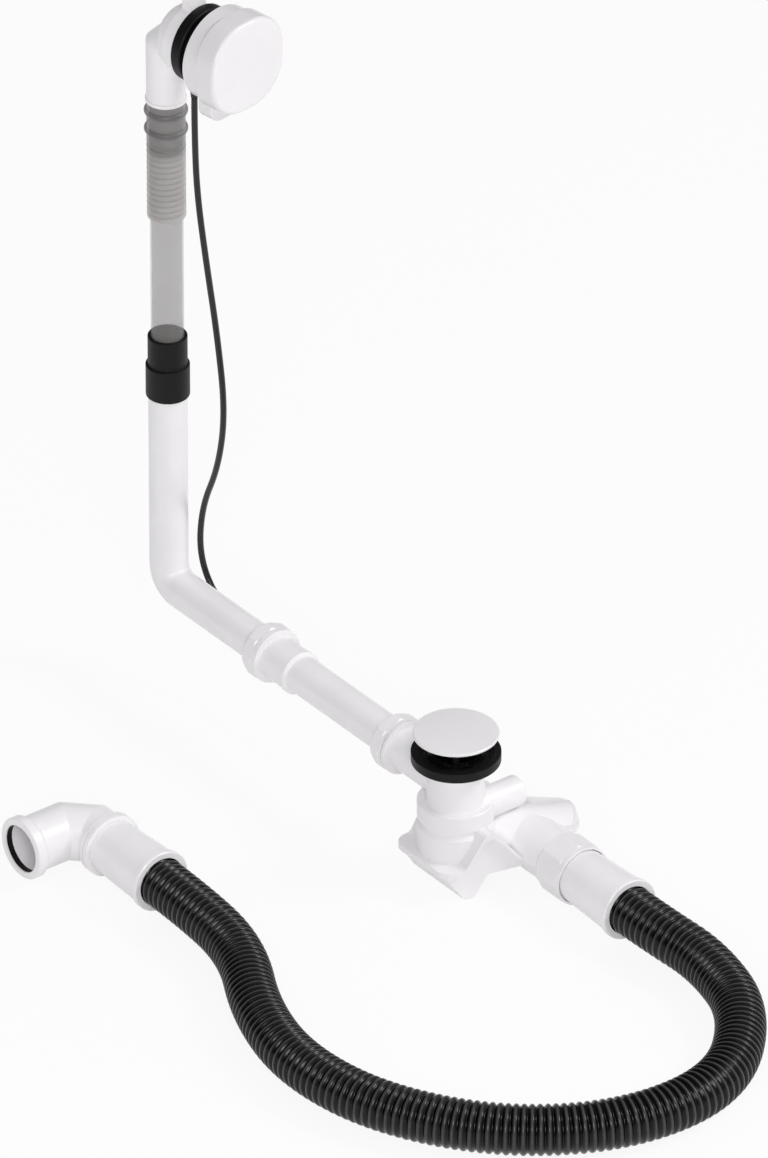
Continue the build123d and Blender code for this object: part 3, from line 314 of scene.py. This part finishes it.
def along(points, places):
    """Places and directions on a line of points, at distances measured along it."""
    runs = np.linalg.norm(np.diff(points, axis=0), axis=1)
    reached = np.concatenate(([0.0], np.cumsum(runs)))
    spots = np.column_stack([np.interp(places, reached, points[:, axis]) for axis in range(3)])
    slopes = np.gradient(points, reached, axis=0)
    ways = np.column_stack([np.interp(places, reached, slopes[:, axis]) for axis in range(3)])
    return spots, ways / np.linalg.norm(ways, axis=1, keepdims=True)


def length_of(points):
    """The length of a line of points, as the sum of its steps."""
    return float(np.linalg.norm(np.diff(points, axis=0), axis=1).sum())


def rings(spots, ways, radii, around, aside):
    """A grid of points: circles of the given radii, each square to the path at its spot."""
    side = np.cross(ways, aside)
    side /= np.linalg.norm(side, axis=1, keepdims=True)
    other = np.cross(ways, side)
    turn = np.linspace(0, 2 * pi, around, endpoint=False)[None, :, None]
    circle = np.cos(turn) * side[:, None] + np.sin(turn) * other[:, None]
    return spots[:, None] + circle * radii[:, None, None]


def skin(name, grid, loop, material):
    """A smooth mesh over a grid of points, closed around each row, its ends joined in a loop or capped."""
    rows, around = grid.shape[:2]
    index = np.arange(rows * around).reshape(rows, around)
    upper = np.roll(index, -1, axis=0) if loop else index[1:]
    lower = index if loop else index[:-1]
    quads = np.stack(
        (lower, np.roll(lower, -1, axis=1), np.roll(upper, -1, axis=1), upper), axis=-1
    )
    faces = quads.reshape(-1, 4).tolist()
    if not loop:
        faces += [index[0, ::-1].tolist(), index[-1].tolist()]
    mesh = bpy.data.meshes.new(name)
    mesh.from_pydata(grid.reshape(-1, 3), [], faces)
    mesh.polygons.foreach_set("use_smooth", np.ones(len(faces), bool))
    mesh.materials.append(material)
    made = bpy.data.objects.new(name, mesh)
    scene.collection.objects.link(made)
    return made


def rib_profile(phase):
    """A rib's dip, 0 at its crest and 1 in its valley: half a cosine's square plus half its sixth power."""
    groove = np.abs(np.cos(phase / 2))
    return 0.5 * groove**6 + 0.5 * groove**2


# Drain hose, from the outlet cuff round to the far cuff
hose_route = np.array([
    (0.1325, 0.054, -0.092),
    (0.1925, 0.054, -0.092),
    (0.2482, 0.0638, -0.0985),
    (0.3234, 0.0427, -0.0996),
    (0.3916, -0.0296, -0.0996),
    (0.3924, -0.1271, -0.0996),
    (0.3395, -0.2153, -0.0996),
    (0.2542, -0.2711, -0.0996),
    (0.1654, -0.2860, -0.0996),
    (0.0844, -0.2658, -0.0996),
    (0.0068, -0.2211, -0.0996),
    (-0.0706, -0.2177, -0.0935),
    (-0.1306, -0.2177, -0.0935),
])
hose_radius = 0.02085
hose_bore = 0.01825
rib_pitch = 0.0065
rib_depth = 0.0022
rib_steps = 10
hose_around = 48
bore_rows = 160
highlight_sharpness = 9
hose_line = spline_points("hose_line", hose_route)
hose_length = length_of(hose_line)
rib_count = int(hose_length / rib_pitch)
outer_places = np.linspace(0, hose_length, rib_count * rib_steps + 1)
rib_phase = np.linspace(0, 2 * pi * rib_count, rib_count * rib_steps + 1)
rib_dip = rib_profile(rib_phase)
inner_places = np.linspace(hose_length, 0, bore_rows)
hose_places = np.concatenate((outer_places, inner_places))
hose_radii = np.concatenate((hose_radius - rib_depth * rib_dip, np.full(bore_rows, hose_bore)))
hose_spots, hose_ways = along(hose_line, hose_places)
hose_grid = rings(hose_spots, hose_ways, hose_radii, hose_around, (0, 0, 1))
hose = skin("corrugated_hose", hose_grid, True, hose_plastic)
# Mask for the painted highlight: 1 on each rib's crest, falling to 0 in the valleys and in the bore.
rib_crest = np.concatenate(((1 - rib_dip) ** highlight_sharpness, np.zeros(bore_rows)))
highlight_layer = hose.data.attributes.new("rib_crest", "FLOAT", "POINT")
highlight_layer.data.foreach_set("value", np.repeat(rib_crest, hose_around))
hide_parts("drain_hose")
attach(hose, "waste")

# Pull cable, from the overflow head down behind the column to the stub of the waste body
cable_route = np.array([
    (-0.35093, 0.00462, 0.443),
    (-0.35093, 0.00462, 0.405),
    (-0.350, 0.006, 0.352),
    (-0.342, 0.0085, 0.292),
    (-0.333, 0.013, 0.222),
    (-0.327, 0.016, 0.152),
    (-0.340, 0.0185, 0.092),
    (-0.366, 0.021, 0.040),
    (-0.372, 0.0225, -0.012),
    (-0.350, 0.025, -0.046),
    (-0.305, 0.028, -0.058),
    (-0.240, 0.030, -0.064),
    (-0.172, 0.031, -0.065),
    (-0.108, 0.033, -0.0605),
    (-0.068, 0.0375, -0.0575),
    (-0.030, 0.0375, -0.0575),
])
cable_radius = 0.00265
cable_around = 20
cable_rows = 420
cable_line = spline_points("cable_line", cable_route)
cable_length = length_of(cable_line)
cable_places = np.linspace(0, cable_length, cable_rows)
cable_spots, cable_ways = along(cable_line, cable_places)
cable_grid = rings(cable_spots, cable_ways, np.full(cable_rows, cable_radius), cable_around, (0, 1, 0))
cable = skin("pull_cable", cable_grid, False, black_plastic)
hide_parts("bowden_cable")
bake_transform(cable)

# Pale floor, white where the camera sees it, with a faint shadow left
floor_gap = 0.0001
floor_level = cad_box[0][2] - floor_gap
floor_size = 6.0
floor_mesh = bpy.data.meshes.new("floor")
floor_mesh.from_pydata(
    [(x * floor_size, y * floor_size, floor_level) for x, y in ((-1, -1), (1, -1), (1, 1), (-1, 1))],
    [],
    [(0, 1, 2, 3)],
)
floor = bpy.data.objects.new("floor", floor_mesh)
scene.collection.objects.link(floor)
floor_paint = bpy.data.materials.new("floor")
floor_paint.use_nodes = True
floor_tools = Value(floor_paint.node_tree)
floor_tools.tree.nodes.clear()
sight = floor_tools.node("ShaderNodeLightPath", out="Is Camera Ray")
gloss_sight = floor_tools.node("ShaderNodeLightPath", out="Is Glossy Ray")
clear_sight = floor_tools.node("ShaderNodeLightPath", out="Is Transmission Ray")
seen = sight.math("MAXIMUM", gloss_sight).math("MAXIMUM", clear_sight)
floor_body = floor_tools.node("ShaderNodeBsdfDiffuse", {}, {"Color": (0.86, 0.86, 0.86, 1)})
floor_glow = floor_tools.node("ShaderNodeEmission", {}, {"Color": (1, 1, 1, 1), "Strength": 1.0})
floor_mix = floor_tools.node("ShaderNodeMixShader", {}, {0: seen * 0.9, 1: floor_body, 2: floor_glow})
floor_out = floor_tools.tree.nodes.new("ShaderNodeOutputMaterial")
feed(floor_tools, floor_out, "Surface", floor_mix)
floor_mesh.materials.append(floor_paint)

# Soft even light, white to the camera, and in gloss dark but for the upper right, which shows the ribs
world = bpy.data.worlds.new("studio")
world.use_nodes = True
scene.world = world
air = Value(world.node_tree)
air.tree.nodes.clear()
view_ray = air.node("ShaderNodeLightPath", out="Is Camera Ray")
clear_ray = air.node("ShaderNodeLightPath", out="Is Transmission Ray")
toward = air.node("ShaderNodeTexCoord", out="Generated")
lens_side = air.node(
    "ShaderNodeVectorMath", {"operation": "DOT_PRODUCT"}, {0: toward, 1: tuple(look_back)}, out="Value"
)
dome = ramp(lens_side * 0.5 + 0.5, (0.0, 0.58), (1.0, 0.47), (0.55, 0.56))
gloss_ray = air.node("ShaderNodeLightPath", out="Is Glossy Ray")
upper_right = (0.55, 0.71, 0.44)
right_side = air.node(
    "ShaderNodeVectorMath", {"operation": "DOT_PRODUCT"}, {0: toward, 1: upper_right}, out="Value"
)
gloss_dome = ramp(right_side * 0.5 + 0.5, (0.0, 0.06), (1.0, 0.6), (0.6, 0.14), (0.8, 0.45))
backdrop = view_ray.math("MAXIMUM", clear_ray)
indoors = dome * (1 - gloss_ray) + gloss_dome * gloss_ray
light_level = indoors * (1 - backdrop) + backdrop
sky = air.node("ShaderNodeBackground", {}, {"Color": (1, 1, 1, 1), "Strength": light_level})
sky_out = air.tree.nodes.new("ShaderNodeOutputWorld")
feed(air, sky_out, "Surface", sky)


def softbox(name, place, target, width, height, watts):
    """A rectangular lamp at a place, turned to a target."""
    lamp = bpy.data.lights.new(name, "AREA")
    lamp.shape = "RECTANGLE"
    lamp.size = width
    lamp.size_y = height
    lamp.energy = watts
    box = bpy.data.objects.new(name, lamp)
    box.location = place
    box.rotation_mode = "QUATERNION"
    box.rotation_quaternion = (Vector(target) - Vector(place)).to_track_quat("-Z", "Y")
    scene.collection.objects.link(box)


lit_spot = (-0.1, -0.1, 0.1)
softbox("key_box", (1.5, 1.9, 2.4), lit_spot, 0.8, 0.8, 37.0)
softbox("fill_box", (2.0, -1.7, 1.5), lit_spot, 1.2, 0.8, 32.0)

scene.view_settings.view_transform = "Standard"
